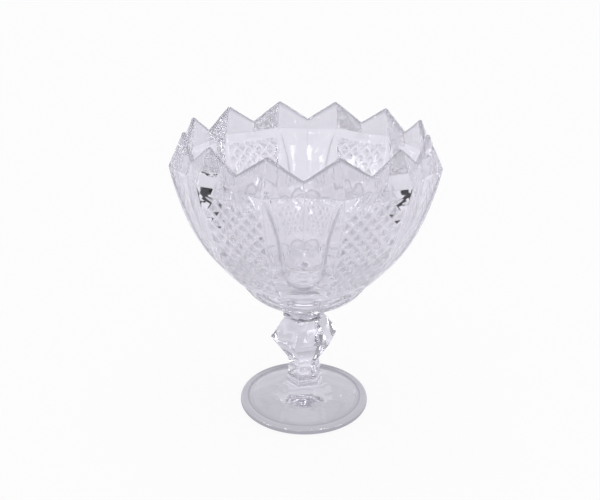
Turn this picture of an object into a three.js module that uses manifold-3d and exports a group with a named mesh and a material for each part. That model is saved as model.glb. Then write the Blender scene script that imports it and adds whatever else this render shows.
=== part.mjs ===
// Footed fruit bowl in clear pressed glass: a twelve-sided bowl with a toothed crown, a hexagonal collar,
// a hexagonal stem with a knop, and a round foot. Millimetres, +Z up, origin under the middle of the foot.
// Angles are in degrees round the axis: 0 looks out to the front (-Y) and positive turns towards +X.

import * as THREE from 'three';
import { mergeVertices } from 'three/addons/utils/BufferGeometryUtils.js';
import Module from 'manifold-3d';

const wasm = await Module();
wasm.setup();

// Pattern round the bowl: a ridge stands between each two panels, and every second panel is a flute
const ridgeCount = 12;
const panelAngle = 360 / ridgeCount;
const stemSides = 6;

// Foot
const footRadius = 51.5;
const footEdgeHeight = 3.6;
const footEdgeRound = 1.8;
const footBandWidth = 5;
const footBandRise = 0.9;
const footHeight = 19.5;
const footHollow = 1.4;
const restRingWidth = 8;
const restRingInset = 2.2;
const plinthRadius = 15;
const plinthHeight = 5.1;

// Stem, as radii over the corners of its six sides and heights from one station to the next
const stemEndRadius = 13.3;
const stemEndHeight = 10.4;
const neckRadius = 12.4;
const neckStep = 1.2;
const throatRadius = 15.2;
const throatRun = 7.8;
const knopRadius = 27.5;
const knopLowerHeight = 17.5;
const knopUpperHeight = 14.5;
const knopTopRadius = 16.7;
const grooveRadius = 15;
const grooveBevel = 1.5;

// Collar
const collarRadius = 16.5;
const collarHeight = 10.5;
const collarBevel = 0.8;

// Bowl, outside
const seatRadius = 19.2;
const padRadius = 50.8;
const padHeight = 25;
const padBellyRadius = 44;
const padBellyHeight = 9;
const wallBellyRadius = 87.2;
const wallBellyHeight = 25.1;
const girdleRadius = 100;
const girdleHeight = 92.7;
const girdleDip = 4.1;
const dipFade = 8.7;
const wallRoundHeight = 16;

// Crown
const notchRise = 8.9;
const toothHeight = 14.9;
const tipRadius = 88.7;
const tipFlat = 1.6;

// Bowl, inside
const rimWall = 2.7;
const girdleWall = 7.1;
const baseThickness = 34;
const floorRadius = 18.5;
const floorBellyRadius = 82;
const floorBellyHeight = 5;

// Flutes
const fluteEndRadius = 14;
const fluteEndHeight = 39;
const fluteWaistHalf = 15.4;
const fluteWaistHeight = 71;

// Hobnails: small four-sided pyramids in rows, each row half a pitch beside and below the one above it
const hobnailPitch = 10.9;
const hobnailPitchAngle = 6.4;
const hobnailDepth = 2.1;
const hobnailTipDepth = 0.2;
const hobnailTopMargin = 11.7;
const hobnailRows = 15;
const hobnailEdgeMargin = 0.6;

// Thumb cuts round the pad
const thumbWidth = 26;
const thumbHeight = 16;
const thumbDepth = 3.4;
const thumbMiddle = 13;

// Heights that follow from the sizes above
const plinthTop = footHeight + plinthHeight;
const stemTop = plinthTop + stemEndHeight + neckStep + throatRun + knopLowerHeight + knopUpperHeight + grooveBevel;
const seatZ = stemTop + collarHeight;
const padZ = seatZ + padHeight;
const girdleZ = padZ + girdleHeight;
const notchZ = girdleZ + notchRise;
const tipZ = notchZ + toothHeight;
const floorZ = seatZ + baseThickness;

// Smoothness of the curved forms
const roundSegments = 60;
const curveSteps = 10;

const radians = THREE.MathUtils.degToRad;
const halfPanel = radians(panelAngle / 2);
const middleShare = Math.cos(halfPanel);

// Turns a profile of (radius, height) round the axis, with a corner at the start angle. Both starts lie on ridges
function turned(points, segments, start = halfPanel) {
  const geometry = new THREE.LatheGeometry(points, segments, start);
  return geometry.rotateX(Math.PI / 2);
}

// Radius of the flat facet between a ridge and the middle of a panel, at an angle off that middle
function facetRadius(ridge, middle, angle) {
  return ridge * middle * Math.sin(halfPanel) / (middle * Math.sin(angle) + ridge * Math.sin(halfPanel - angle));
}

// Turns a profile with flat facets between its ridges and the middles of its panels. Each point holds ridge,
// middle and z. It may also hold fluteMiddle, for the panels with flutes.
function starTurned(points) {
  const columnsPerPanel = 2;
  const ridgeProfile = points.map((p) => new THREE.Vector2(p.ridge, p.z));
  const geometry = turned(ridgeProfile, columnsPerPanel * ridgeCount);
  const position = geometry.attributes.position;
  for (let i = 0; i < position.count; i += 1) {
    const { ridge, middle: plainMiddle, fluteMiddle = plainMiddle } = points[i % points.length];
    const panels = Math.floor(i / points.length) / columnsPerPanel;
    const middle = Math.floor(panels) % 2 === 1 ? fluteMiddle : plainMiddle;
    const offMiddle = Math.abs(panels - Math.floor(panels) - 0.5) * 2 * halfPanel;
    if (ridge > 0) {
      const radius = facetRadius(ridge, middle, offMiddle);
      position.setX(i, position.getX(i) * radius / ridge);
      position.setY(i, position.getY(i) * radius / ridge);
    }
  }
  return geometry;
}

// Makes a solid for cutting and joining from a closed geometry
function solid(geometry) {
  const bare = geometry.clone();
  bare.deleteAttribute('normal');
  bare.deleteAttribute('uv');
  const merged = mergeVertices(bare, 1e-4);
  const index = merged.index ? Array.from(merged.index.array) : [...Array(merged.attributes.position.count).keys()];
  const triangles = [];
  for (let i = 0; i < index.length; i += 3) {
    const [a, b, c] = index.slice(i, i + 3);
    if (a !== b && b !== c && c !== a) triangles.push(a, b, c);
  }
  return new wasm.Manifold(new wasm.Mesh({
    numProp: 3,
    vertProperties: Float32Array.from(merged.attributes.position.array),
    triVerts: Uint32Array.from(triangles),
  }));
}

// Gives a solid back as a flat-shaded geometry
function geometryOf(body) {
  const mesh = body.getMesh();
  const geometry = new THREE.BufferGeometry();
  geometry.setAttribute('position', new THREE.BufferAttribute(Float32Array.from(mesh.vertProperties), 3));
  geometry.setIndex(Array.from(mesh.triVerts));
  geometry.computeVertexNormals();
  return geometry;
}

// Closes the space between two grids of points, near the axis and away from it, into one shell. Each cell of
// a grid is split in two along one diagonal, and crosses says in which cells that is the other diagonal.
function shellBetween(near, far, crosses = () => false) {
  const columns = near.length;
  const rows = near[0].length;
  const vertices = [...near.flat(), ...far.flat()].flatMap((p) => [p.x, p.y, p.z]);
  const at = (side, i, j) => side * columns * rows + i * rows + j;
  const index = [];
  const quad = (a, b, c, d) => index.push(a, b, c, a, c, d);
  for (let i = 0; i < columns - 1; i += 1) {
    for (let j = 0; j < rows - 1; j += 1) {
      const cell = [at(0, i, j), at(0, i, j + 1), at(0, i + 1, j + 1), at(0, i + 1, j)];
      if (crosses(i, j)) cell.push(cell.shift());
      quad(...cell);
      quad(at(1, i, j), at(1, i + 1, j), at(1, i + 1, j + 1), at(1, i, j + 1));
    }
    quad(at(0, i, 0), at(0, i + 1, 0), at(1, i + 1, 0), at(1, i, 0));
    quad(at(0, i, rows - 1), at(1, i, rows - 1), at(1, i + 1, rows - 1), at(0, i + 1, rows - 1));
  }
  for (let j = 0; j < rows - 1; j += 1) {
    quad(at(0, 0, j), at(1, 0, j), at(1, 0, j + 1), at(0, 0, j + 1));
    quad(at(0, columns - 1, j), at(0, columns - 1, j + 1), at(1, columns - 1, j + 1), at(1, columns - 1, j));
  }
  const geometry = new THREE.BufferGeometry();
  geometry.setAttribute('position', new THREE.Float32BufferAttribute(vertices, 3));
  geometry.setIndex(index);
  return geometry;
}

// The wall of the bowl outside, from the pad to the girdle, as radii over its ridges
const wallCurve = new THREE.QuadraticBezierCurve(
  new THREE.Vector2(padRadius, padZ),
  new THREE.Vector2(wallBellyRadius, padZ + wallBellyHeight),
  new THREE.Vector2(girdleRadius, girdleZ),
);
const wallPoints = wallCurve.getPoints(2 * curveSteps);

// The radius over the ridges at one height of the wall
function ridgeRadius(z) {
  const i = wallPoints.findIndex((p) => p.y >= z - 1e-6);
  const [low, high] = [wallPoints[Math.max(i - 1, 0)], wallPoints[i < 0 ? wallPoints.length - 1 : i]];
  const share = high.y > low.y ? (z - low.y) / (high.y - low.y) : 0;
  return THREE.MathUtils.lerp(low.x, high.x, share);
}

// The crown leans inwards from the girdle, and its middles stay as far inside its ridges as the teeth need
const crownLean = (girdleRadius - tipRadius) / (tipZ - girdleZ);
const middleLean = (girdleRadius * middleShare - girdleDip - tipRadius) / notchRise;

function crownPoint(z) {
  const lean = Math.max(middleLean, crownLean * middleShare);
  return {
    ridge: girdleRadius - crownLean * (z - girdleZ),
    middle: girdleRadius * middleShare - girdleDip - lean * (z - girdleZ),
    z,
  };
}

// Solid block of the bowl with its panels, before anything is cut
function bowlBlock() {
  const heights = [...wallPoints.map((p) => p.y), girdleZ - dipFade, padZ + wallRoundHeight].sort((a, b) => a - b);
  const wall = heights.map((z) => {
    const dip = girdleDip * THREE.MathUtils.clamp(1 - (girdleZ - z) / dipFade, 0, 1);
    const flatness = THREE.MathUtils.clamp((z - padZ) / wallRoundHeight, 0, 1);
    const ridge = ridgeRadius(z);
    const fluteMiddle = ridge * THREE.MathUtils.lerp(1, middleShare, flatness);
    return { ridge, middle: fluteMiddle - dip, fluteMiddle, z };
  });
  const sunk = padZ - padHeight / 4;
  const start = [{ ridge: 0, middle: 0, z: sunk }, { ridge: padBellyRadius, middle: padBellyRadius, z: sunk }];
  const crown = [crownPoint(girdleZ), crownPoint(tipZ), { ridge: 0, middle: 0, z: tipZ }];
  return solid(starTurned([...start, ...wall, ...crown]));
}

// Thick round pad that the wall stands on
function padBlock() {
  const profile = new THREE.Path();
  profile.moveTo(0, seatZ);
  profile.lineTo(seatRadius, seatZ);
  profile.quadraticCurveTo(padBellyRadius, seatZ + padBellyHeight, padRadius, padZ);
  profile.lineTo(0, padZ);
  return solid(turned(profile.getPoints(curveSteps), roundSegments));
}

// The hollow of the bowl, as the plunger leaves it: a flat floor, a round wall, and an almost upright mouth
function cavity() {
  const profile = new THREE.Path();
  profile.moveTo(0, floorZ);
  profile.lineTo(floorRadius, floorZ);
  const girdle = crownPoint(girdleZ).middle - girdleWall;
  profile.quadraticCurveTo(floorBellyRadius, floorZ + floorBellyHeight, girdle, girdleZ);
  profile.lineTo(tipRadius - rimWall, tipZ);
  profile.lineTo(tipRadius - rimWall, tipZ + toothHeight);
  profile.lineTo(0, tipZ + toothHeight);
  return solid(turned(profile.getPoints(curveSteps), roundSegments));
}

// One V-shaped notch between two teeth, cut straight through the wall at the front
function notchCut() {
  const halfTooth = tipRadius * Math.sin(halfPanel) - tipFlat / 2;
  const half = girdleRadius * Math.sin(halfPanel);
  const rise = half * toothHeight / halfTooth;
  const outline = new THREE.Shape();
  outline.moveTo(0, notchZ);
  outline.lineTo(half, notchZ + rise);
  outline.lineTo(-half, notchZ + rise);
  const geometry = new THREE.ExtrudeGeometry(outline, { depth: girdleRadius, bevelEnabled: false });
  geometry.translate(0, 0, floorRadius);
  return solid(geometry.rotateX(Math.PI / 2));
}

// One flute at the front: a shallow V whose depth at a point is its slope times the distance to its outline.
// The outline narrows from the whole panel at the girdle to a half circle at its lower end.
function fluteCut() {
  const slope = girdleDip / (girdleRadius * Math.sin(halfPanel));
  const shares = [0, 0.5, 0.9, 1.3];
  const lid = 12;
  const endZ = padZ + fluteEndHeight;
  const place = (x, z, depth) => new THREE.Vector3(x, -(ridgeRadius(z) * middleShare - depth), z);
  const edge = new THREE.QuadraticBezierCurve(
    new THREE.Vector2(girdleRadius * Math.sin(halfPanel), girdleZ),
    new THREE.Vector2(fluteWaistHalf, padZ + fluteWaistHeight),
    new THREE.Vector2(fluteEndRadius, endZ),
  );
  const stations = edge.getPoints(curveSteps);
  stations.unshift(new THREE.Vector2(stations[0].x, girdleZ + notchRise / 4));
  const side = (sign) => stations.map((p) => shares.map((t) => place(sign * t * p.x, p.y, slope * p.x * (1 - t))));
  const end = [];
  for (let k = 1; k < curveSteps; k += 1) {
    const turn = Math.PI * k / curveSteps;
    const ray = (r) => place(r * Math.cos(turn), endZ - r * Math.sin(turn), slope * (fluteEndRadius - r));
    end.push(shares.map((t) => ray(t * fluteEndRadius)));
  }
  const near = [...side(1), ...end, ...side(-1).reverse()];
  const far = near.map((row) => row.map((p) => new THREE.Vector3(p.x, p.y - lid, p.z)));
  return solid(shellBetween(near, far));
}

// The hobnails of one panel, at the front: the floor of this cut rises to a tip at every second point of its
// grid and falls to the foot of the pyramids between them. At the edges of the panel it runs out of the glass.
function hobnailCut() {
  const lid = 8;
  const wallLength = wallCurve.getLength();
  const halfColumns = Math.floor((panelAngle / 2 - hobnailEdgeMargin) / (hobnailPitchAngle / 2));
  const edgeAngle = panelAngle / 2 - hobnailEdgeMargin;
  const near = [];
  for (let i = -halfColumns - 1; i <= halfColumns + 1; i += 1) {
    const angle = radians(THREE.MathUtils.clamp(i * hobnailPitchAngle / 2, -edgeAngle, edgeAngle));
    const column = [];
    for (let j = hobnailRows; j >= -1; j -= 1) {
      const down = hobnailTopMargin + j * hobnailPitch / 2;
      const point = wallCurve.getPointAt(1 - down / wallLength);
      const isEdge = Math.abs(i) > halfColumns || j < 0 || j === hobnailRows;
      const depth = (i + j) % 2 === 0 ? hobnailTipDepth : hobnailDepth;
      const out = point.x * middleShare - (isEdge ? -hobnailTipDepth : depth);
      column.push(new THREE.Vector3(out * Math.tan(angle), -out, point.y));
    }
    near.push(column);
  }
  const far = near.map((column) => column.map((p) => new THREE.Vector3(p.x, p.y - lid, p.z)));
  const firstIsTip = (halfColumns + 1 + hobnailRows) % 2 === 0;
  return solid(shellBetween(near, far, (i, j) => ((i + j) % 2 === 0) === firstIsTip));
}

// One oval thumb cut in the pad, at the front
function thumbCut() {
  const middleZ = seatZ + thumbMiddle;
  const profile = new THREE.QuadraticBezierCurve(
    new THREE.Vector2(seatRadius, seatZ),
    new THREE.Vector2(padBellyRadius, seatZ + padBellyHeight),
    new THREE.Vector2(padRadius, padZ),
  );
  const points = profile.getPoints(roundSegments);
  const nearest = points.findIndex((p) => p.y >= middleZ);
  const [a, b] = [points[nearest - 1], points[nearest]];
  const normal = new THREE.Vector3(0, -(b.y - a.y), -(b.x - a.x)).normalize();
  const oval = new THREE.SphereGeometry(1, 24, 12);
  oval.scale(thumbWidth / 2, thumbHeight / 2, thumbDepth);
  const up = new THREE.Vector3().crossVectors(normal, new THREE.Vector3(1, 0, 0));
  oval.applyMatrix4(new THREE.Matrix4().makeBasis(new THREE.Vector3(1, 0, 0), up, normal));
  oval.translate(0, -b.x, b.y);
  return solid(oval);
}

// Copies of one cut round the axis, joined into one
function aroundAxis(cut, angles) {
  return wasm.Manifold.union(angles.map((angle) => cut.rotate([0, 0, angle])));
}

const panelMiddles = Array.from({ length: ridgeCount }, (_, i) => i * panelAngle);
const fluteAngles = panelMiddles.filter((_, i) => i % 2 === 0);
const hobnailAngles = panelMiddles.filter((_, i) => i % 2 === 1);

// The bowl: block and pad joined, then the hollow, notches, flutes, hobnails and thumb cuts taken out
function bowl() {
  return bowlBlock()
    .add(padBlock())
    .subtract(cavity())
    .subtract(aroundAxis(notchCut(), panelMiddles))
    .subtract(aroundAxis(fluteCut(), fluteAngles))
    .subtract(aroundAxis(hobnailCut(), hobnailAngles))
    .subtract(aroundAxis(thumbCut(), hobnailAngles));
}

// Hexagonal collar between the stem and the bowl
function collar() {
  const profile = new THREE.Path();
  profile.moveTo(0, stemTop);
  profile.lineTo(grooveRadius, stemTop);
  profile.lineTo(collarRadius, stemTop + collarBevel);
  profile.lineTo(collarRadius, seatZ);
  profile.lineTo(0, seatZ);
  return turned(profile.getPoints(1), stemSides, -halfPanel);
}

// Hexagonal stem: a straight end, a waisted neck, and a knop with flat faces
function stem() {
  const profile = new THREE.Path();
  const neckZ = plinthTop + stemEndHeight + neckStep;
  const throatZ = neckZ + throatRun;
  const knopZ = throatZ + knopLowerHeight;
  profile.moveTo(0, plinthTop);
  profile.lineTo(stemEndRadius, plinthTop);
  profile.lineTo(stemEndRadius, plinthTop + stemEndHeight);
  profile.lineTo(neckRadius, neckZ);
  profile.quadraticCurveTo(neckRadius, neckZ + throatRun / 2, throatRadius, throatZ);
  profile.lineTo(knopRadius, knopZ);
  profile.lineTo(knopTopRadius, knopZ + knopUpperHeight);
  profile.lineTo(grooveRadius, stemTop);
  profile.lineTo(0, stemTop);
  return turned(profile.getPoints(curveSteps / 2), stemSides, -halfPanel);
}

// Round foot with a hollow under it, a ring that it rests on, and a hexagonal plinth in its middle
function foot() {
  const restOuter = footRadius - restRingInset;
  const restInner = restOuter - restRingWidth;
  const bandInner = footRadius - footBandWidth;
  const profile = new THREE.Path();
  profile.moveTo(0, footHollow);
  profile.lineTo(restInner - footHollow, footHollow);
  profile.lineTo(restInner, 0);
  profile.lineTo(restOuter, 0);
  profile.quadraticCurveTo(footRadius, 0, footRadius, footEdgeHeight - footEdgeRound);
  profile.quadraticCurveTo(footRadius, footEdgeHeight, footRadius - footEdgeRound, footEdgeHeight);
  profile.lineTo(bandInner, footEdgeHeight + footBandRise);
  profile.lineTo(plinthRadius, footHeight);
  profile.lineTo(0, footHeight);
  const plinth = new THREE.Path();
  plinth.moveTo(0, footHeight - plinthHeight);
  plinth.lineTo(plinthRadius, footHeight - plinthHeight);
  plinth.lineTo(plinthRadius, plinthTop);
  plinth.lineTo(0, plinthTop);
  const disc = solid(turned(profile.getPoints(curveSteps / 2), roundSegments));
  return disc.add(solid(turned(plinth.getPoints(1), stemSides, -halfPanel)));
}

// Clear glass with a faint lilac-grey cast
function glass() {
  return new THREE.MeshStandardMaterial({ color: 0xd4d1dc, roughness: 0.05, metalness: 0 });
}

function piece(name, geometry) {
  const mesh = new THREE.Mesh(geometry, glass());
  mesh.name = name;
  return mesh;
}

const fruitBowl = new THREE.Group();
fruitBowl.add(
  piece('bowl', geometryOf(bowl())),
  piece('collar', geometryOf(solid(collar()))),
  piece('stem', geometryOf(solid(stem()))),
  piece('foot', geometryOf(foot())),
);

export default fruitBowl;
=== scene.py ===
"""The looks of a footed fruit bowl in clear pressed glass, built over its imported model."""

import math

import bpy
import numpy as np
from mathutils import Matrix, Vector


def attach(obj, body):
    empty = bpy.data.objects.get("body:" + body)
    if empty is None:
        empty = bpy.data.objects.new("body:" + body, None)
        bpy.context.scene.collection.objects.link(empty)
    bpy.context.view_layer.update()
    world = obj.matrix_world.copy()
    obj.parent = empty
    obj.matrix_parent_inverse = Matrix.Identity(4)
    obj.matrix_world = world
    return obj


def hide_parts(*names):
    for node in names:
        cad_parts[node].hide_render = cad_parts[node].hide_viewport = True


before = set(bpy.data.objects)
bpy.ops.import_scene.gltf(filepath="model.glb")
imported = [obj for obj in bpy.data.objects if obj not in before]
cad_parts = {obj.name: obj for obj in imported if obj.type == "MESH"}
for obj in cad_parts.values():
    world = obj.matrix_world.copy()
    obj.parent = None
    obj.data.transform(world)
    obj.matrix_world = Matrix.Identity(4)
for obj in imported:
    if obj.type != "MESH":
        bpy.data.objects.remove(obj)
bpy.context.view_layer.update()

# Sizes of the glass are in millimetres, and the meshes are in metres
MM = 0.001

# Sides of the bowl and of the stem, and the angle of a corner of the stem off the front
PANEL_COUNT = 12
HALF_PANEL = math.pi / PANEL_COUNT
STEM_SIDES = 6
CORNER_ANGLE = math.radians(-15)

# The foot: a rounded edge, a bead, a groove inside it, a slope and a hexagonal plinth
FOOT_RADIUS = 52.0
FOOT_WIDEST_Z = 1.8
FOOT_EDGE_HEIGHT = 5.4
FOOT_BEAD = 3.2
FOOT_BAND = 6.4
FOOT_BAND_HEIGHT = 4.3
GROOVE_BEND = 1
FOOT_HEIGHT = 19.5
FOOT_HOLLOW = 1.4
FOOT_SOFT = 0.5
REST_RING = (41.3, 49.3)
RING_STEP = 1
SLOPE_START = 0.03
SLOPE_END_GAP = (0.6, 0.2)
PLINTH_RADIUS = 15.0
PLINTH_TOP = 24.6
PLINTH_BEVEL = 0.4

# Radius and height of the stem's corners, and the collar between the stem and the bowl
STEM_END = (13.3, 35.0)
NECK = (12.4, 36.2)
THROAT = (15.2, 44.0)
KNOP = (27.5, 61.5)
KNOP_TOP = (16.7, 76.0)
STEM_TOP = 77.5
STEM_SOFT = 0.35
GROOVE_RADIUS = 15.0
GROOVE_STEP = 0.4
COLLAR_RADIUS = 17.1
COLLAR_BEVEL = 0.8
SEAT_Z = 88.0

# Overlap of neighbours, last radius before the axis, and most of a side that a soft corner takes
JOIN = 0.3
AXIS_RADIUS = 2
MOST_CUT = 0.4

# Rows and columns of the stem's pieces: points on each curve, and the edge and steps of a side
NECK_POINTS = 9
EDGE_LOW_POINTS = 7
EDGE_HIGH_POINTS = 9
BEAD_POINTS = 8
SLOPE_POINTS = 12
STEM_COLUMNS = (0.06, 10)
COLLAR_COLUMNS = (0.05, 10)
FOOT_COLUMNS = (0.05, 26)

# The bowl: curves of radius and height for the pad, the ridges of the wall and the hollow
SEAT_RADIUS = 19.2
PAD_CURVE = ((19.2, 88.0), (44.0, 97.0), (50.8, 113.0))
WALL_CURVE = ((50.8, 113.0), (87.2, 138.1), (100.0, 205.7))
WALL_ROUND = 16.0
HOLLOW_CURVE = ((18.5, 122.0), (82.0, 127.0), (85.4, 205.7))
FLOOR_Z = 122.0
CURVE_POINTS = 801

# The girdle and the crown of teeth over it
GIRDLE_Z = 205.7
GIRDLE_RADIUS = 100.0
GIRDLE_DIP = 4.1
DIP_FADE = 8.7
CROWN_LEAN = 0.4748
MIDDLE_LEAN = 0.4586
NOTCH_Z = 214.6
NOTCH_ROUND = 0.03
TIP_Z = 229.5
TIP_RADIUS = 88.7
TIP_FLAT = 1.6
TIP_SOFT = 0.5
TOOTH_HEIGHT = 14.9
RIM_RADIUS = 86.0
RIM_EDGE = 1.2
RIDGE_ROUND = 0.07

# The flutes: half width and height along the outline, its round lower end, and its step
FLUTE_EDGE = ((14.0, 152.0), (15.4, 184.0), (25.88, 205.7))
FLUTE_POINTS = 101
FLUTE_END = (14.0, 152.0)
FLUTE_TONGUE = 21.0
FLUTE_STEP = 0.8
FLUTE_STEP_RUN = 0.12
FLUTE_STEP_FADE = 4
FLUTE_SOFT = 0.06

# The hobnails: degrees across a panel, and millimetres down along the wall from the girdle
HOBNAIL_ANGLE = 3.2
HOBNAIL_STEP = 5.45
HOBNAIL_TOP = 11.7
HOBNAIL_ROWS = 15
HOBNAIL_DEPTH = 2.1
HOBNAIL_TIP_DEPTH = 0.2
HOBNAIL_EDGE_ANGLE = 14.4

# The oval thumb cuts where the wall meets the pad
THUMB_HALF = (11.5, 8.0)
THUMB_DEPTH = 3.0
THUMB_Z = 110.0
THUMB_FULLNESS = 0.75

# Columns of the bowl's grid, in degrees off the middle of a panel: narrow ones at the ridges
EDGE_ANGLES = np.array([14.45, 14.75, 15])
MIDDLE_ANGLES = [-0.2, 0.2]
COLUMN_STEP = HOBNAIL_ANGLE / 4
LAST_COLUMN = 18
OUTLINE_COLUMN = 13

# Rows of the bowl's grid: the hobnail field, narrow strips at edges, and discs open at the axis
FIELD_TOP = HOBNAIL_TOP - HOBNAIL_STEP
FIELD_END = HOBNAIL_TOP + HOBNAIL_STEP * HOBNAIL_ROWS
STRIP = 0.5
WIDE_STRIP = 0.6
CROWN_STRIP = 0.03
SEAT_HOLE = 4
FLOOR_HOLE = 3

# How the columns of a flute follow its outline
OUTLINE_LEAST = 5
OUTLINE_RANGE = (0.2, 0.95)
OUTLINE_RETURN = 12
OUTLINE_PULL = 1.5

# The tint of the painted shade, and how much of it each painted place takes
PAINTED_SHADE_TINT = (0.48, 0.48, 0.51)
RIM_PAINTED_SHADE = 0.75
GIRDLE_PAINTED_SHADE = 0.5
RIDGE_PAINTED_SHADE = 0.36
CREASE_PAINTED_SHADE = 0.36
FLUTE_PAINTED_SHADE = 1.0
HOBNAIL_PAINTED_SHADE = 0.72
THUMB_PAINTED_SHADE = 0.9
PAD_PAINTED_SHADE = 0.42
COLLAR_PAINTED_SHADE = 1.0
KNOP_PAINTED_SHADE = 0.4
CORNER_PAINTED_SHADE = 0.09
FOOT_PAINTED_SHADE = 1.0
BAND_PAINTED_SHADE = 0.25

# Where lines of painted shade run: their widths, and the heights at which they start or end
FLUTE_LINE = 0.95
FLUTE_LINE_TOP = (4, 6)
THUMB_LINE = 0.25
GIRDLE_LINE = 0.01
RIDGE_LINE = 0.99
RIDGE_LINE_Z = 125
CREASE_LINE = 0.1
CREASE_Z = 165
LINE_RISE = 10
CORNER_LINE_Z = PLINTH_TOP + 1

# A hobnail's painted shade: at its tip, its rise above the tip, and the clear margin of its cell
TIP_PAINTED_SHADE = 0.55
TIP_PAINTED_SHADE_RISE = 0.9
CELL_RISE = 2.2
CELL_MARGIN = 0.2
PAINTED_SHADE_FIELD = 0.955

# Rows of the stem's pieces that take painted shade, counted from an end of each profile or edge
UNDER_KNOP_ROWS = slice(-8, -6)
UNDER_COLLAR_ROWS = slice(1, 6)
FOOT_OUTLINE_ROWS = (3, 9)
FOOT_GROOVE_ROWS = 3

# The glass: its clear colours, scale and detail of the noises on it, its relief and its roughness
GLASS_IOR = 1.52
CLEAR_COLOURS = ((0.25, (0.945, 0.94, 0.96)), (0.75, (0.975, 0.97, 0.985)))
RIPPLE = (95.0, 1.0)
GRAIN = (620.0, 2.0)
CAST = (22.0, 1.0)
GRAIN_HEIGHT = 0.06
BUMP_STRENGTH = 0.35
BUMP_HEIGHT = 0.0006
LEAST_ROUGH = 0.012
MORE_ROUGH = 0.035

# The paper as the glass shows it: greys by distance from the middle of the foot, in metres, with a
# painted shadow darkest close to the foot
PAPER_GREYS = (
    (0.05, 0.60),
    (0.07, 0.71),
    (0.10, 0.74),
    (0.16, 0.71),
    (0.24, 0.75),
    (0.55, 0.80),
    (0.65, 0.86),
)
PAPER_CAST = (0.985, 0.965, 1.05)
PAPER_WHITE = (0.94, 0.94, 0.95)
SHADOW_KEPT = 0.1
FLOOR_REACH = 4.0

# The paper's edges at the sides, up to a place behind the bowl, and in front: past them is the table
PAPER_HALF_WIDTH = 0.56
PAPER_SHIFT = 0.03
PAPER_WIDENS = 0.3
PAPER_FRONT = 1.2
PAPER_EDGE_SHARPNESS = 100
TABLE_GREY = 0.01

# The net of light on the paper round the foot: its noise by scale, detail and twist, and its reach
SPARKLE = 0.3
SPARKLE_FREE = 0.06
SPARKLE_RISE = 40
SPARKLE_REACH = 0.30
NET = (26.0, 2.0, 1.2)
NET_MIDDLE = 0.5
NET_SHARPNESS = 14

# The room as the glass shows it: greys behind, in front and high up, and how they pass over
ROOM_BACK = 0.97
ROOM_FRONT = 0.38
ROOM_HORIZON = 0.3
ROOM_HIGH = 0.45
BACK_RISE = 3
BACK_START = 0.9
HORIZON_FALL = 5
HIGH_START = 0.5
HIGH_RISE = 5
DAYLIGHT = ((0.93, 0.92, 0.96), 0.9)

# Cards in the room: angle off the front, height, half width and half height in degrees, brightness
ROOM_CARDS = (
    (-64, 14, 9, 10, 4.0),
    (-31, 28, 4, 6, 8.0),
    (-10, 6, 6, 3, 4.0),
    (33, 28, 4, 6, 8.0),
    (62, 12, 8, 8, 4.0),
    (38, 47, 5, 5, 14.0),
    (-86, 32, 11, 12, 0.5),
    (-80, 26, 3, 3, 6.0),
    (-42, 52, 4, 4, 10.0),
    (180, 72, 60, 8, 0.9),
    (180, 26, 70, 9, -0.27),
)
CARD_SOFT = 1.5
DEGREES = 180 / math.pi

# Square lamps turned to one point: name, place, side and power
LAMPS = (
    ("left_lamp", (-0.86, -0.45, 0.30), 0.16, 0.5),
    ("front_lamp", (-0.17, -1.1, 0.30), 0.12, 0.3),
    ("right_lamp", (0.62, -0.80, 0.45), 0.16, 0.5),
)
LAMP_AIM = (0, 0, 0.15)

# The photograph's camera, and how often light may bounce in the glass
FOCAL_PIXELS = 798.8
FRAME_PIXELS = 600
SENSOR_WIDTH = 36.0
CAMERA_PLACE = (0.00814, -0.56629, 0.36382)
CAMERA_HEADING = 0.02125
CAMERA_TILT = 1.18338
CAMERA_ROLL = 0.00585
NEAREST_SEEN = 0.01
BOUNCES = 24

# Sockets of the Mix node that carry colours
MIX_COLOURS = (6, 7)
MIX_RESULT = 2


def bezier(points, count):
    """Quadratic curve through the first and last point, pulled towards the middle one."""
    a, b, c = (np.asarray(p, float) for p in points)
    t = np.linspace(0, 1, count)[:, None]
    return (1 - t) ** 2 * a + 2 * t * (1 - t) * b + t ** 2 * c


def mix(a, b, share):
    """The value that share of the way from a to b."""
    return a + (b - a) * share


class Profile:
    """A curve of radius and height, walked by its length."""

    def __init__(self, points):
        curve = bezier(points, CURVE_POINTS)
        steps = np.hypot(*np.diff(curve, axis=0).T)
        self.s = np.concatenate([[0], np.cumsum(steps)])
        self.r, self.z = curve.T
        self.length = self.s[-1]

    def at(self, s):
        """Radius and height at a length along the curve."""
        return np.interp(s, self.s, self.r), np.interp(s, self.s, self.z)


WALL = Profile(WALL_CURVE)
PAD = Profile(PAD_CURVE)
HOLLOW = Profile(HOLLOW_CURVE)
FLUTE_OUTLINE = bezier(FLUTE_EDGE, FLUTE_POINTS)

# The grid's columns as q: the share of the way from the middle of a panel to its ridges at -1 and 1
COLUMN_ANGLES = np.unique(np.concatenate([
    -EDGE_ANGLES,
    np.arange(-LAST_COLUMN, LAST_COLUMN + 1) * COLUMN_STEP,
    MIDDLE_ANGLES,
    EDGE_ANGLES,
]).round(6))
COLUMN_SHARE = np.tan(np.radians(COLUMN_ANGLES)) / math.tan(HALF_PANEL)
FLUTE_COLUMN = np.tan(math.radians(COLUMN_STEP * OUTLINE_COLUMN)) / math.tan(HALF_PANEL)


def angle_at(q):
    """Angle round the axis off the middle of a panel."""
    return np.arctan(q * math.tan(HALF_PANEL))


def round_points(radius, z, q):
    """Points at a radius from the axis, as (across, out, up) of a panel."""
    angle = angle_at(q)
    return radius * np.sin(angle), radius * np.cos(angle), z + 0 * q


def faceted(ridge, middle, q):
    """Two flat facets of a panel: q runs from ridge to ridge, and the middle may lie deeper."""
    x = q * ridge * math.sin(HALF_PANEL)
    y = middle + (ridge * math.cos(HALF_PANEL) - middle) * np.abs(q)
    return x, y


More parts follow.
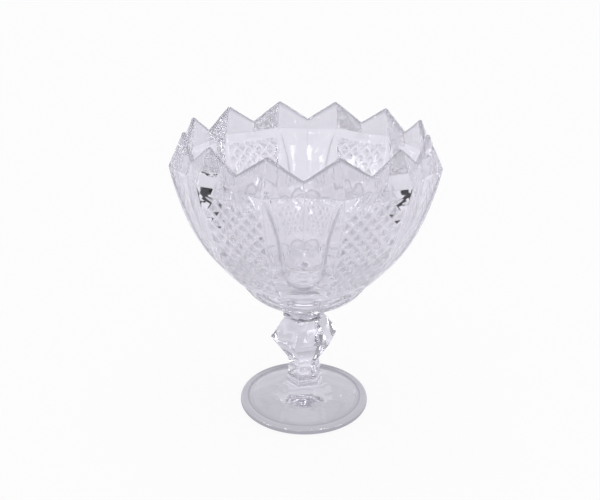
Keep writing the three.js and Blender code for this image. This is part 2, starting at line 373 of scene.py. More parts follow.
def ridge_cut(ridge, q):
    """How far a rounded ridge lies under its sharp corner: a parabola over a narrow strip."""
    near = np.clip(RIDGE_ROUND - 1 + np.abs(q), 0, None)
    return ridge * math.sin(HALF_PANEL) * math.tan(HALF_PANEL) * near ** 2 / (2 * RIDGE_ROUND)


def hobnail_depth(q, down):
    """Pyramids on a diamond lattice: the nearest of two crossing saw-tooth waves gives the height,
    and the depth runs out to nothing along the edges of the field."""
    angle = np.degrees(angle_at(q))
    across = angle / HOBNAIL_ANGLE
    along = (down - HOBNAIL_TOP) / HOBNAIL_STEP
    wave = np.minimum(
        np.abs(np.mod(across + along, 2) - 1), np.abs(np.mod(across - along, 2) - 1)
    )
    depth = mix(HOBNAIL_DEPTH, HOBNAIL_TIP_DEPTH, wave)
    inside = np.minimum(along + 1, HOBNAIL_ROWS - along)
    inside = np.minimum(inside, (HOBNAIL_EDGE_ANGLE - np.abs(angle)) / (HOBNAIL_ANGLE / 2))
    run = np.clip(inside, 0, 1)
    return np.maximum((depth + HOBNAIL_TIP_DEPTH) * run - HOBNAIL_TIP_DEPTH, 0)


def hobnail_painted_shade(q, down):
    """Painted shade on each pyramid, darker above its tip than below it, and clear along its edges: the
    place in its cell is counted along the two diagonals, each from -1 to 1."""
    across = np.degrees(angle_at(q)) / HOBNAIL_ANGLE
    along = (down - HOBNAIL_TOP) / HOBNAIL_STEP
    one, other = across + along, across - along
    one, other = one - 2 * np.round(one / 2), other - 2 * np.round(other / 2)
    above_tip = (other - one) / 2
    border = 1 - np.maximum(np.abs(one), np.abs(other))
    in_cell = np.clip(CELL_RISE * border - CELL_MARGIN, 0, 1)
    in_field = np.clip(np.minimum(along + 1, HOBNAIL_ROWS - along), 0, 1)
    in_field = in_field * (np.abs(q) < PAINTED_SHADE_FIELD)
    return in_field * in_cell * np.clip(TIP_PAINTED_SHADE + TIP_PAINTED_SHADE_RISE * above_tip, 0, 1)


def flute_half_width(z):
    """Half the width of a flute's outline at a height."""
    return np.interp(z, FLUTE_OUTLINE[:, 1], FLUTE_OUTLINE[:, 0])


def flute_gap(x, z):
    """Distance to the outline of the flute, positive inside it."""
    straight = flute_half_width(z) - np.abs(x)
    rounded = FLUTE_END[0] - np.hypot(x, (z - FLUTE_END[1]) * FLUTE_END[0] / FLUTE_TONGUE)
    return np.where(z > FLUTE_END[1], straight, rounded)


def flute_depth(x, z):
    """A shallow V: its slope times the distance to the outline, with the edge softened a little. A
    small step runs along the outline and fades out under the girdle."""
    slope = GIRDLE_DIP / (GIRDLE_RADIUS * math.sin(HALF_PANEL))
    depth = slope * flute_gap(x, z)
    depth = (depth + np.sqrt(depth ** 2 + FLUTE_SOFT ** 2)) / 2
    fade = np.clip((GIRDLE_Z - z) / FLUTE_STEP_FADE, 0, 1)
    return depth + FLUTE_STEP * fade * (1 - np.exp(-depth / FLUTE_STEP_RUN))


def flute_columns(z):
    """Columns that follow the outline of the flute, so that its edge is a line of the grid. Under the
    flute they go back to the places that they have in the other panels."""
    ridge = np.interp(z, WALL.z, WALL.r) * math.sin(HALF_PANEL)
    drop = np.clip(FLUTE_END[1] - z, 0, FLUTE_TONGUE) * FLUTE_END[0] / FLUTE_TONGUE
    half = np.where(
        z > FLUTE_END[1], flute_half_width(z), np.sqrt(FLUTE_END[0] ** 2 - drop ** 2)
    )
    below = np.clip((FLUTE_END[1] - FLUTE_TONGUE - z) / OUTLINE_RETURN, 0, 1)
    edge = mix(np.clip(half, OUTLINE_LEAST, None) / ridge, FLUTE_COLUMN, below)
    edge = np.clip(edge, *OUTLINE_RANGE)
    near = np.abs(COLUMN_SHARE) / FLUTE_COLUMN
    far = (np.abs(COLUMN_SHARE) - FLUTE_COLUMN) / (1 - FLUTE_COLUMN)
    close = 1 - np.clip(1 - near, 0, 1) ** OUTLINE_PULL
    share = np.where(near < 1, close * edge, mix(edge, 1.0, far))
    return np.sign(COLUMN_SHARE) * share


def thumb_oval(radius, z, q):
    """How far inside the oval thumb cut of its panel a place lies: 1 in its middle, 0 on its edge."""
    across = radius * np.sin(angle_at(q)) / THUMB_HALF[0]
    return 1 - across ** 2 - ((z - THUMB_Z) / THUMB_HALF[1]) ** 2


def thumb_cut(radius, z, q):
    """Depth of the thumb cuts where the wall meets the pad: a bowl over an oval."""
    return THUMB_DEPTH * np.clip(thumb_oval(radius, z, q), 0, 1) ** THUMB_FULLNESS


def wall_outside(down, q, fluted):
    """The outer wall: flat panels between ridges on a curved profile, round where they leave the pad.
    Hobnails or a flute sink into the panel, thumb cuts into its lower end, and hobnail panels dip in
    the middle under the girdle."""
    ridge, z = WALL.at(WALL.length - down)
    plane = ridge * math.cos(HALF_PANEL)
    flat = np.clip((z - WALL.z[0]) / WALL_ROUND, 0, 1)
    angle = angle_at(q)
    if fluted:
        x, y = plane * np.tan(angle), plane - flute_depth(plane * np.tan(angle), z)
    else:
        fade = np.clip(1 - (GIRDLE_Z - z) / DIP_FADE, 0, 1)
        dip = GIRDLE_DIP * (1 - np.abs(q)) * fade
        y = plane - dip - hobnail_depth(q, down)
        x = y * np.tan(angle)
    y = y - ridge_cut(ridge, q) * flat
    round_share = mix(np.cos(angle) * ridge / plane, 1, flat)
    round_share = round_share * (1 - thumb_cut(ridge, z, q) / ridge)
    return x * round_share, y * round_share, z + 0 * q


def rim_height(q, ridge, lean):
    """Height of the toothed edge on a face that leans: a V between teeth, softly cut at the tips."""
    slope = TOOTH_HEIGHT / (TIP_RADIUS * math.sin(HALF_PANEL) - TIP_FLAT / 2)
    half = math.sin(HALF_PANEL) * np.sqrt(q ** 2 + NOTCH_ROUND ** 2) * slope
    z = (NOTCH_Z + half * (ridge + lean * GIRDLE_Z)) / (1 + half * lean)
    return (z + TIP_Z - np.sqrt((z - TIP_Z) ** 2 + TIP_SOFT ** 2)) / 2


def crown(z, q):
    """The outer face of the crown leans inwards over the girdle, with a shallow V in each panel."""
    up = z - GIRDLE_Z
    ridge = GIRDLE_RADIUS - CROWN_LEAN * up
    middle = GIRDLE_RADIUS * math.cos(HALF_PANEL) - GIRDLE_DIP - MIDDLE_LEAN * up
    x, y = faceted(ridge, middle, q)
    return x, y - ridge_cut(ridge, q), z + 0 * q


def crown_outside(share, q, fluted):
    """From the girdle up to the start of the rim's rounded edge."""
    top = rim_height(q, GIRDLE_RADIUS, CROWN_LEAN) - RIM_EDGE
    return crown(mix(GIRDLE_Z, top, share), q)


def round_inside(z, q):
    """The hollow over the girdle, round and almost upright."""
    radius = mix(HOLLOW_CURVE[2][0], RIM_RADIUS, (z - GIRDLE_Z) / (TIP_Z - GIRDLE_Z))
    return round_points(radius, z, q)


def rim(turn, q, fluted):
    """Over the edge, as half a round from the outer face to the inner one."""
    outer = crown(rim_height(q, GIRDLE_RADIUS, CROWN_LEAN) - RIM_EDGE, q)
    inner = round_inside(rim_height(q, RIM_RADIUS, 0) - RIM_EDGE, q)
    share = (1 - np.cos(turn * math.pi)) / 2
    x, y, z = (mix(a, b, share) for a, b in zip(outer, inner))
    return x, y, z + RIM_EDGE * np.sin(turn * math.pi)


def crown_inside(share, q, fluted):
    """From the rim down to the level of the girdle."""
    return round_inside(mix(rim_height(q, RIM_RADIUS, 0) - RIM_EDGE, GIRDLE_Z, share), q)


def wall_inside(down, q, fluted):
    """The hollow under the girdle: a smooth round bowl down to its floor."""
    return round_points(*HOLLOW.at(HOLLOW.length - down), q)


def level(height):
    """A flat disc at one height, by radius."""
    def disc(radius, q, fluted):
        return round_points(radius, height, q)
    return disc


def pad_outside(s, q, fluted):
    """The thick round pad, with the lower halves of the thumb cuts."""
    radius, z = PAD.at(s)
    return round_points(radius - thumb_cut(radius, z, q), z, q)


def around(local, angle):
    """Local points of a panel (across, out, up) turned to its place round the axis."""
    x, y, z = local
    out = x * math.sin(angle) - y * math.cos(angle)
    return np.stack([x * math.cos(angle) + y * math.sin(angle), out, z], -1)


def panel_grid(section, rows, fluted, at_middles):
    """Points of one section of a panel, at the grid's nodes or at the middles of its cells."""
    rows = np.asarray(rows, float)[:, None]
    q = np.broadcast_to(COLUMN_SHARE, (len(rows), len(COLUMN_SHARE)))
    if fluted and section is wall_outside:
        q = flute_columns(WALL.at(WALL.length - rows)[1])
    if at_middles:
        rows = (rows[1:] + rows[:-1]) / 2
        q = (q[1:, 1:] + q[1:, :-1] + q[:-1, 1:] + q[:-1, :-1]) / 4
    else:
        q = q[:, :-1]
    return section(rows, q, fluted)


def thumb_line(radius, z, q):
    """Painted shade along the outline of a thumb cut."""
    return THUMB_PAINTED_SHADE * np.exp(-(thumb_oval(radius, z, q) / THUMB_LINE) ** 2)


def risen(z, start):
    """0 up to a height and 1 a little over it."""
    return np.clip((z - start) / LINE_RISE, 0, 1)


def wall_painted_shade(down, q, fluted):
    """Painted shade on the outer wall: along its ridges and thumb cuts, along the outline of a flute and
    the crease in its middle, and on the upper halves of the hobnails."""
    ridge, z = WALL.at(WALL.length - down)
    edge = RIDGE_PAINTED_SHADE * (np.abs(q) > RIDGE_LINE) * risen(z, RIDGE_LINE_Z)
    if not fluted:
        edge = np.maximum(edge, thumb_line(ridge, z, q))
        return np.maximum(HOBNAIL_PAINTED_SHADE * hobnail_painted_shade(q, down), edge)
    side = ridge * math.sin(HALF_PANEL)
    x = flute_columns(z)[:, :-1] * side
    line = FLUTE_PAINTED_SHADE * np.exp(-(flute_gap(x, z + 0 * x) / FLUTE_LINE) ** 2)
    line = line * np.clip((GIRDLE_Z - FLUTE_LINE_TOP[0] - z) / FLUTE_LINE_TOP[1], 0, 1)
    crease = CREASE_PAINTED_SHADE * (np.abs(x) < CREASE_LINE) * risen(z, CREASE_Z)
    edge = np.maximum(edge, thumb_line(ridge, z, x / side))
    return np.maximum(np.maximum(line, crease), edge)


def section_painted_shade(section, rows, fluted):
    """Painted shade at the nodes of one section of a panel: on the whole rim and pad, along the girdle
    and the thumb cuts, and in the pattern of the wall."""
    rows = np.asarray(rows, float)[:, None]
    q = np.broadcast_to(COLUMN_SHARE, (len(rows), len(COLUMN_SHARE)))[:, :-1]
    if section is rim:
        return np.full(q.shape, RIM_PAINTED_SHADE)
    if section is crown_outside:
        return GIRDLE_PAINTED_SHADE * (rows < GIRDLE_LINE) + 0 * q
    if section is pad_outside:
        return np.maximum(PAD_PAINTED_SHADE, thumb_line(*PAD.at(rows), q))
    if section is wall_outside:
        return wall_painted_shade(rows, q, fluted)
    return np.zeros(q.shape)


def bowl_painted_shade():
    """Painted shade at all nodes of the bowl's grid. Where two sections meet, the darker one counts."""
    rows = []
    for section, marks in BOWL_SECTIONS:
        kinds = [section_painted_shade(section, marks, k % 2 == 0) for k in range(2)]
        ring = np.concatenate([kinds[k % 2] for k in range(PANEL_COUNT)], 1)
        if rows:
            rows[-1][-1] = np.maximum(rows[-1][-1], ring[0])
        rows.append(ring[1 if rows else 0:])
    return np.concatenate(rows)


def bowl_grid(at_middles):
    """All rows of the bowl from the seat up the outside, over the rim and down to the floor."""
    rows = []
    for section, marks in BOWL_SECTIONS:
        kinds = [panel_grid(section, marks, k % 2 == 0, at_middles) for k in range(2)]
        turned = [around(kinds[k % 2], k * 2 * HALF_PANEL) for k in range(PANEL_COUNT)]
        ring = np.concatenate(turned, 1)
        first = 0 if at_middles or not rows else 1
        rows.append(ring[first:])
    return np.concatenate(rows)


def spread(*stops):
    """Marks from stop to stop: each stop is its place and the number of steps to the next."""
    parts = [np.linspace(a, b, n + 1)[:-1] for (a, n), (b, _) in zip(stops, stops[1:])]
    return np.concatenate([*parts, [stops[-1][0]]])


# Sections of the bowl's skin with their rows, from the seat over the rim to the hollow's floor
BOWL_SECTIONS = [
    (level(SEAT_Z), spread((SEAT_HOLE, 3), (SEAT_RADIUS - STRIP, 1), (SEAT_RADIUS, 0))),
    (pad_outside, spread((0, 1), (WIDE_STRIP, 36), (PAD.length - STRIP, 1), (PAD.length, 0))),
    (
        wall_outside,
        spread((WALL.length, 13), (FIELD_END, 64), (FIELD_TOP, 5), (STRIP, 1), (0, 0)),
    ),
    (crown_outside, spread((0, 1), (CROWN_STRIP, 10), (1, 0))),
    (rim, spread((0, 8), (1, 0))),
    (crown_inside, spread((0, 6), (1, 0))),
    (wall_inside, spread((0, 32), (HOLLOW.length - WIDE_STRIP, 1), (HOLLOW.length, 0))),
    (level(FLOOR_Z), spread((HOLLOW_CURVE[0][0], 4), (FLOOR_HOLE, 0))),
]


def mesh_piece(name, vertices, faces):
    """A smooth-shaded object at the origin, with its place in its mesh."""
    mesh = bpy.data.meshes.new(name)
    mesh.vertices.add(len(vertices))
    mesh.vertices.foreach_set("co", vertices.astype(np.float32).ravel())
    mesh.loops.add(faces.size)
    mesh.loops.foreach_set("vertex_index", faces.astype(np.int32).ravel())
    mesh.polygons.add(len(faces))
    size = faces.shape[1]
    mesh.polygons.foreach_set("loop_start", np.arange(0, faces.size, size, dtype=np.int32))
    mesh.polygons.foreach_set("use_smooth", np.ones(len(faces), bool))
    mesh.update(calc_edges=True)
    mesh.validate()
    piece = bpy.data.objects.new(name, mesh)
    bpy.context.scene.collection.objects.link(piece)
    return piece


def closed_piece(name, grid, middles, low, high, painted_shade):
    """A closed mesh from rings of points: each cell is split along the diagonal whose middle lies
    nearer to the surface, and the first and last ring close on a pole. The painted shade of the
    points is kept as an attribute, which the glass reads."""
    rows, columns = grid.shape[:2]
    index = np.arange(rows * columns).reshape(rows, columns)
    right = np.roll(index, -1, 1)
    a, b, c, d = index[:-1], right[:-1], right[1:], index[1:]
    point = grid.reshape(-1, 3)
    rising = np.linalg.norm((point[a] + point[c]) / 2 - middles, axis=-1)
    falling = np.linalg.norm((point[b] + point[d]) / 2 - middles, axis=-1)
    rise = (rising <= falling)[..., None]
    one = np.where(rise, np.stack([a, b, c], -1), np.stack([a, b, d], -1))
    two = np.where(rise, np.stack([a, c, d], -1), np.stack([b, c, d], -1))
    first, last = rows * columns, rows * columns + 1
    under = np.stack([right[0], index[0], np.full(columns, first)], -1)
    over = np.stack([index[-1], right[-1], np.full(columns, last)], -1)
    faces = np.concatenate([one.reshape(-1, 3), two.reshape(-1, 3), under, over])
    piece = mesh_piece(name, np.concatenate([point, [low, high]]) * MM, faces)
    values = np.concatenate([painted_shade.ravel(), [0, 0]]).astype(np.float32)
    piece.data.attributes.new("painted_shade", "FLOAT", "POINT").data.foreach_set("value", values)
    return piece


def pressed_bowl():
    """The bowl as one closed skin of glass."""
    grid, middles = bowl_grid(False), bowl_grid(True)
    low = np.array([0, 0, SEAT_Z])
    high = np.array([0, 0, FLOOR_Z])
    return closed_piece("bowl_glass", grid, middles, low, high, bowl_painted_shade())


def side_shares(edge, steps):
    """Places across one side of the stem, from corner to corner, with narrow steps at the corners."""
    inner = np.linspace(-1 + edge, 1 - edge, steps + 1)
    return np.concatenate([[-1], inner])


def hexagonal(profile, shares, roundness):
    """Rings with flat sides between corners: the radius of a profile point is that of the corners.
    Where roundness is 1 the ring is a circle."""
    radius, z = profile.T
    half = math.pi / STEM_SIDES
    q = np.tile(shares, STEM_SIDES)
    middle = np.repeat(np.arange(STEM_SIDES) * 2 * half, len(shares)) + CORNER_ANGLE + half
    angle = np.arctan(q * math.tan(half))
    flat = math.cos(half) / np.cos(angle)
    reach = radius[:, None] * mix(flat[None], 1, roundness[:, None])
    turn = (middle + angle)[None]
    height = np.broadcast_to(z[:, None], reach.shape)
    return np.stack([reach * np.sin(turn), -reach * np.cos(turn), height], -1)


def softened(points, edge):
    """A profile with each inner corner cut back to two points, edge away from it on both sides."""
    points = [np.asarray(p, float) for p in points]
    made = [points[0]]
    for before, here, after in zip(points, points[1:], points[2:]):
        for other in (before, after):
            gap = np.linalg.norm(other - here)
            made.append(here + (other - here) * min(edge / gap, MOST_CUT))
    return np.array([*made, points[-1]])


def stem_piece(name, profile, columns, roundness, painted_shade):
    """A hexagonal piece from its profile, closed on the axis at both ends. Some of its rows may take
    painted shade, and its corners take a little painted shade over the plinth."""
    shares = side_shares(*columns)
    grid = hexagonal(profile, shares, roundness)
    follow = np.roll(grid, -1, 1)
    middles = (grid[:-1] + grid[1:] + follow[:-1] + follow[1:]) / 4
    low = np.array([0, 0, profile[0][1]])
    high = np.array([0, 0, profile[-1][1]])
    at_corner = np.tile(shares == -1, STEM_SIDES)[None]
    corner = CORNER_PAINTED_SHADE * at_corner * (grid[..., 2] > CORNER_LINE_Z)
    return closed_piece(name, grid, middles, low, high, np.maximum(corner, painted_shade[:, None]))


def faceted_piece(name, corners, columns, painted_shade_rows, painted_shade_value):
    """A stem piece from the corners of its profile, with softened edges."""
    profile = softened(corners, STEM_SOFT)
    # The given rows take painted shade
    painted_shade = np.zeros(len(profile))
    painted_shade[painted_shade_rows] = painted_shade_value
    return stem_piece(name, profile, columns, np.zeros(len(profile)), painted_shade)


def hexagonal_stem():
    """Straight foot end, waisted neck, and a knop with flat faces that takes a little painted shade
    underneath.
    """
    bend = (NECK[0], (NECK[1] + THROAT[1]) / 2)
    corners = [
        (AXIS_RADIUS, PLINTH_TOP - JOIN),
        (STEM_END[0], PLINTH_TOP - JOIN),
        STEM_END,
        *bezier((NECK, bend, THROAT), NECK_POINTS),
        KNOP,
        KNOP_TOP,
        (GROOVE_RADIUS, STEM_TOP),
        (AXIS_RADIUS, STEM_TOP),
    ]
    return faceted_piece("stem_glass", corners, STEM_COLUMNS, UNDER_KNOP_ROWS, KNOP_PAINTED_SHADE)


def collar_wafer():
    """The wafer of glass between the stem and the bowl, with painted shade on its bevel and the groove
    under it.
    """
    corners = [
        (AXIS_RADIUS, STEM_TOP - JOIN),
        (GROOVE_RADIUS - GROOVE_STEP, STEM_TOP - JOIN),
        (GROOVE_RADIUS, STEM_TOP),
        (COLLAR_RADIUS, STEM_TOP + COLLAR_BEVEL),
        (COLLAR_RADIUS, SEAT_Z + JOIN),
        (AXIS_RADIUS, SEAT_Z + JOIN),
    ]
    return faceted_piece("collar_glass", corners, COLLAR_COLUMNS, UNDER_COLLAR_ROWS, COLLAR_PAINTED_SHADE)


def foot_edge():
    """From the ring that the foot stands on, round its edge, over the bead and into the groove."""
    widest = (FOOT_RADIUS, FOOT_WIDEST_Z)
    bead_top = (FOOT_RADIUS - FOOT_BEAD, FOOT_EDGE_HEIGHT)
    groove = (FOOT_RADIUS - FOOT_BAND, FOOT_BAND_HEIGHT)
    bend = (groove[0] + GROOVE_BEND, FOOT_EDGE_HEIGHT)
    low = bezier(((REST_RING[1], 0), (FOOT_RADIUS, 0), widest), EDGE_LOW_POINTS)
    high = bezier((widest, (FOOT_RADIUS, FOOT_EDGE_HEIGHT), bead_top), EDGE_HIGH_POINTS)
    bead = bezier((bead_top, bend, groove), BEAD_POINTS)
    return np.concatenate([low, high[1:], bead[1:]])


def foot_painted_shade(start, end, count):
    """Painted shade in lines round the edge and in the groove, and a lighter painted shade on the band
    between them. The edge's rows run from start to end."""
    first, last = (start + row for row in FOOT_OUTLINE_ROWS)
    painted_shade = np.zeros(count)
    painted_shade[first:last] = FOOT_PAINTED_SHADE
    painted_shade[last:end - FOOT_GROOVE_ROWS] = BAND_PAINTED_SHADE
    painted_shade[end - FOOT_GROOVE_ROWS:end] = FOOT_PAINTED_SHADE
    painted_shade[end] = FOOT_PAINTED_SHADE / 2
    return painted_shade


def round_foot():
    """Round foot with a hollow under it, a rounded edge, and a hexagonal plinth."""
    under = softened([
        (AXIS_RADIUS, FOOT_HOLLOW),
        (REST_RING[0] - FOOT_HOLLOW, FOOT_HOLLOW),
        (REST_RING[0], 0),
        (REST_RING[0] + RING_STEP, 0),
    ], FOOT_SOFT)
    edge = foot_edge()
    slope_end = np.array([PLINTH_RADIUS + SLOPE_END_GAP[0], FOOT_HEIGHT - SLOPE_END_GAP[1]])
    slope = mix(edge[-1], slope_end, np.linspace(SLOPE_START, 1, SLOPE_POINTS)[:, None])
    plinth = [
        (PLINTH_RADIUS, FOOT_HEIGHT),
        (PLINTH_RADIUS, FOOT_HEIGHT + PLINTH_BEVEL),
        (PLINTH_RADIUS, PLINTH_TOP - PLINTH_BEVEL),
        (PLINTH_RADIUS - PLINTH_BEVEL, PLINTH_TOP),
        (AXIS_RADIUS, PLINTH_TOP),
    ]
    profile = np.concatenate([under, edge, slope, plinth])
    roundness = np.ones(len(profile))
    roundness[-len(plinth):] = 0
    # Painted shade in lines round the foot's edge and groove, and lighter on the band between them
    painted_shade = foot_painted_shade(len(under), len(under) + len(edge), len(profile))
    return stem_piece("foot_glass", profile, FOOT_COLUMNS, roundness, painted_shade)


class Wire:
    """A socket with arithmetic: an expression on it adds Math nodes."""

    def __init__(self, finish, socket):
        self.finish = finish
        self.socket = socket

    def math(self, operation, *others):
        return self.finish.node("ShaderNodeMath", {"operation": operation}, (self, *others))

    def __add__(self, other):
        return self.math("ADD", other)

    def __sub__(self, other):
        return self.math("SUBTRACT", other)

    def __mul__(self, other):
        return self.math("MULTIPLY", other)

    def __truediv__(self, other):
        return self.math("DIVIDE", other)

    def __radd__(self, other):
        return self.finish.node("ShaderNodeMath", {"operation": "ADD"}, (other, self))

    def __rsub__(self, other):
        return self.finish.node("ShaderNodeMath", {"operation": "SUBTRACT"}, (other, self))

    def __rmul__(self, other):
        return self.finish.node("ShaderNodeMath", {"operation": "MULTIPLY"}, (other, self))

    def limit(self):
        return self.math("MINIMUM", 1.0).math("MAXIMUM", 0.0)


class Finish:
    """A material or a world under construction."""

    def __init__(self, owner):
        owner.use_nodes = True
        self.owner = owner
        self.tree = owner.node_tree
        self.tree.nodes.clear()

    def node(self, kind, settings=None, values=(), output=0):
        """Adds a node: settings first, then its sockets by place or by name."""
        made = self.tree.nodes.new(kind)
        for name, value in (settings or {}).items():
            setattr(made, name, value)
        named = values.items() if isinstance(values, dict) else enumerate(values)
        for name, value in named:
            socket = made.inputs[name]
            if isinstance(value, Wire):
                self.tree.links.new(value.socket, socket)
            else:
                socket.default_value = value
        return Wire(self, made.outputs[output])

    def parts(self, vector):
        """The three parts of a direction or a place."""
        split = self.tree.nodes.new("ShaderNodeSeparateXYZ")
        self.tree.links.new(vector.socket, split.inputs[0])
        return [Wire(self, part) for part in split.outputs]

    def noise(self, place, scale, detail, twist=0.0):
        """A noise that follows a place."""
        values = {"Vector": place, "Scale": scale, "Detail": detail, "Distortion": twist}
        return self.node("ShaderNodeTexNoise", {"noise_dimensions": "3D"}, values)

    def ramp(self, factor, *stops):
        """A colour ramp: each stop is a place and a colour."""
        made = self.tree.nodes.new("ShaderNodeValToRGB")
        elements = made.color_ramp.elements
        for stop in stops[2:]:
            elements.new(stop[0])
        for element, (place, colour) in zip(elements, stops):
            element.position = place
            element.color = (*colour, 1)
        self.tree.links.new(factor.socket, made.inputs[0])
        return Wire(self, made.outputs[0])

    def blend(self, share, one, other):
        """A colour that share of the way from one to another."""
        values = {"Factor": share, MIX_COLOURS[0]: one, MIX_COLOURS[1]: (*other, 1)}
        return self.node("ShaderNodeMix", {"data_type": "RGBA"}, values, MIX_RESULT)

    def close(self, shader, kind="ShaderNodeOutputMaterial"):
        """Ends the tree with its output."""
        end = self.tree.nodes.new(kind)
        self.tree.links.new(shader.socket, end.inputs[0])
        return self.owner


def pressed_glass(name):
    """Clear glass with a faint lilac-grey cast. The mould leaves slow ripples and a fine grain on it,
    and handling leaves it a little less smooth in patches. Painted shade darkens its colour along the
    edges of a pressed pattern."""
    finish = Finish(bpy.data.materials.new(name))
    place = finish.node("ShaderNodeTexCoord", output="Object")
    ripple = finish.noise(place, *RIPPLE)
    grain = finish.noise(place, *GRAIN)
    cast = finish.noise(place, *CAST)
    relief = {
        "Strength": BUMP_STRENGTH,
        "Distance": BUMP_HEIGHT,
        "Height": ripple + GRAIN_HEIGHT * grain,
    }
    # Painted shade kept on the points of each piece, which darkens the clear colour
    painted_shade = finish.node("ShaderNodeAttribute", {"attribute_name": "painted_shade"}, output="Fac")
    shader = finish.node("ShaderNodeBsdfPrincipled", {}, {
        "Base Color": finish.blend(painted_shade, finish.ramp(cast, *CLEAR_COLOURS), PAINTED_SHADE_TINT),
        "Roughness": LEAST_ROUGH + MORE_ROUGH * grain * cast,
        "IOR": GLASS_IOR,
        "Transmission Weight": 1.0,
        "Normal": finish.node("ShaderNodeBump", {}, relief),
    })
    return finish.close(shader)


def seen_rays(finish):
    """Two masks: what the camera sees straight on, and what it sees mirrored or through glass."""
    path = "ShaderNodeLightPath"
    direct = finish.node(path, output="Is Camera Ray")
    glossy = finish.node(path, output="Is Glossy Ray")
    through = finish.node(path, output="Is Transmission Ray")
    return direct, (glossy + through).limit() * (1 - direct)


def gathered_light(finish, place):
    """The net of bright lines that the glass throws on the paper: where a noise passes its middle."""
    wave = finish.noise(place, *NET)
    crest = 1 - (wave - NET_MIDDLE).math("ABSOLUTE") * NET_SHARPNESS
    return crest.limit()


def card(place, entry):
    """The light of a soft-edged upright card or window in the room, by the direction of a ray."""
    angle, height, half_width, half_height, added = entry
    x, y, z = place
    turn = math.radians(angle)
    side = x * math.cos(turn) + y * math.sin(turn)
    ahead = x * math.sin(turn) - y * math.cos(turn)
    across = side.math("ARCTAN2", ahead).math("ABSOLUTE") * DEGREES
    up = (z.math("ARCSINE") * DEGREES - height).math("ABSOLUTE")
    inside = ((half_width - across) / CARD_SOFT).limit()
    return added * (inside * ((half_height - up) / CARD_SOFT).limit())


def beyond_paper(x, y):
    """1 past the edges of the paper, where the table begins, and 0 on the paper."""
    past_side = (x - PAPER_SHIFT).math("ABSOLUTE") - PAPER_HALF_WIDTH
    past_edge = past_side.math("MINIMUM", PAPER_WIDENS - y).math("MAXIMUM", -PAPER_FRONT - y)
    return (past_edge * PAPER_EDGE_SHARPNESS).limit()


def pale_floor_finish(name):
    """White paper on a dark table. The camera sees all of it as white with a share of the shadow. The
    glass shows the paper in pale greys by distance, with a painted shadow darkest close to the foot, a
    net of light round the foot, and the table past the paper's edges."""
    finish = Finish(bpy.data.materials.new(name))
    place = finish.node("ShaderNodeNewGeometry", output="Position")
    x, y, z = finish.parts(place)
    away = (x * x + y * y).math("SQRT")
    grey = finish.ramp(away, *((r, (g, g, g)) for r, g in PAPER_GREYS))
    ring = ((away - SPARKLE_FREE) * SPARKLE_RISE).limit() * (1 - away / SPARKLE_REACH).limit()
    grey = grey + SPARKLE * gathered_light(finish, place) * ring
    beyond = beyond_paper(x, y)
    grey = grey + beyond * (TABLE_GREY - grey)
    paper = finish.node("ShaderNodeBsdfDiffuse", {}, {"Color": (*PAPER_WHITE, 1)})
    white = finish.node("ShaderNodeEmission", {}, {"Color": (1, 1, 1, 1), "Strength": 1.0})
    glow = finish.node("ShaderNodeEmission", {}, {"Color": (*PAPER_CAST, 1), "Strength": grey})
    direct, in_glass = seen_rays(finish)
    shown = finish.node("ShaderNodeMixShader", {}, (direct, glow, white))
    share = (direct + in_glass) * (1 - SHADOW_KEPT) + in_glass * beyond * SHADOW_KEPT
    return finish.close(finish.node("ShaderNodeMixShader", {}, (share, paper, shown)))


def white_floor():
    """A wide floor under the bowl."""
    corners = np.array([[-1, -1, 0], [1, -1, 0], [1, 1, 0], [-1, 1, 0]]) * FLOOR_REACH
    floor = mesh_piece("floor", corners, np.array([[0, 1, 2, 3]]))
    floor.data.materials.append(pale_floor_finish("white_paper"))


def soft_lamp(name, place, side, power):
    """A square soft lamp turned to the bowl."""
    data = bpy.data.lights.new(name, "AREA")
    data.shape = "SQUARE"
    data.size = side
    data.energy = power
    lamp = bpy.data.objects.new(name, data)
    bpy.context.scene.collection.objects.link(lamp)
    turn = (Vector(LAMP_AIM) - Vector(place)).to_track_quat("-Z", "Y")
    lamp.matrix_world = Matrix.Translation(place) @ turn.to_matrix().to_4x4()


def room_light(finish, ray):
    """What the glass shows of the room in the direction of a ray: brighter behind the bowl than in
    front of it, darker along the horizon behind, an even grey high up, and the cards."""
    x, y, z = ray
    low = ROOM_FRONT + (ROOM_BACK - ROOM_FRONT) * (y * BACK_RISE - BACK_START).limit()
    low = low - ROOM_HORIZON * (1 - z * HORIZON_FALL).limit() * (y * BACK_RISE).limit()
    light = low + (ROOM_HIGH - low) * ((z - HIGH_START) * HIGH_RISE).limit()
    for entry in ROOM_CARDS:
        light = light + card(ray, entry)
    return light


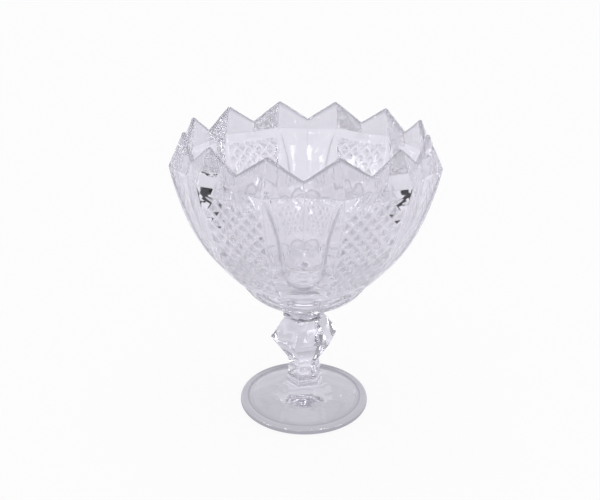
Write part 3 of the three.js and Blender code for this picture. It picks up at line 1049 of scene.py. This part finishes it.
def room():
    """The light of the room: white to the camera, plain daylight on the paper, and greys and cards in
    the glass."""
    world = bpy.data.worlds.new("room")
    bpy.context.scene.world = world
    finish = Finish(world)
    ray = finish.parts(finish.node("ShaderNodeTexCoord", output="Generated"))
    colour, strength = DAYLIGHT
    kind = "ShaderNodeBackground"
    seen = {"Color": (*PAPER_CAST, 1), "Strength": room_light(finish, ray)}
    grey = finish.node(kind, {}, seen)
    white = finish.node(kind, {}, {"Color": (1, 1, 1, 1), "Strength": 1.0})
    daylight = finish.node(kind, {}, {"Color": (*colour, 1), "Strength": strength})
    direct, in_glass = seen_rays(finish)
    shown = finish.node("ShaderNodeMixShader", {}, (direct, grey, white))
    whole = finish.node("ShaderNodeMixShader", {}, (direct + in_glass, daylight, shown))
    finish.close(whole, "ShaderNodeOutputWorld")


def camera():
    """The photograph's view."""
    data = bpy.data.cameras.new("camera")
    data.sensor_width = SENSOR_WIDTH
    data.lens = FOCAL_PIXELS / FRAME_PIXELS * SENSOR_WIDTH
    data.clip_start = NEAREST_SEEN
    eye = bpy.data.objects.new("camera", data)
    bpy.context.scene.collection.objects.link(eye)
    turn = Matrix.Rotation(CAMERA_HEADING, 4, "Z") @ Matrix.Rotation(CAMERA_TILT, 4, "X")
    turn = turn @ Matrix.Rotation(CAMERA_ROLL, 4, "Z")
    eye.matrix_world = Matrix.Translation(CAMERA_PLACE) @ turn
    bpy.context.scene.camera = eye


def dress(piece, node, glass):
    """A piece takes the place of its node, rides with it and takes its glass."""
    piece.data.materials.append(glass)
    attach(piece, "root")
    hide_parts(node)


camera()
room()
white_floor()
for lamp in LAMPS:
    soft_lamp(*lamp)

bowl_finish = pressed_glass("bowl_glass")
stem_finish = pressed_glass("stem_glass")
dress(pressed_bowl(), "bowl", bowl_finish)
dress(collar_wafer(), "collar", stem_finish)
dress(hexagonal_stem(), "stem", stem_finish)
dress(round_foot(), "foot", stem_finish)

light_paths = bpy.context.scene.cycles
light_paths.max_bounces = BOUNCES
light_paths.glossy_bounces = BOUNCES
light_paths.transmission_bounces = BOUNCES

view = bpy.context.scene.view_settings
view.view_transform = "Standard"
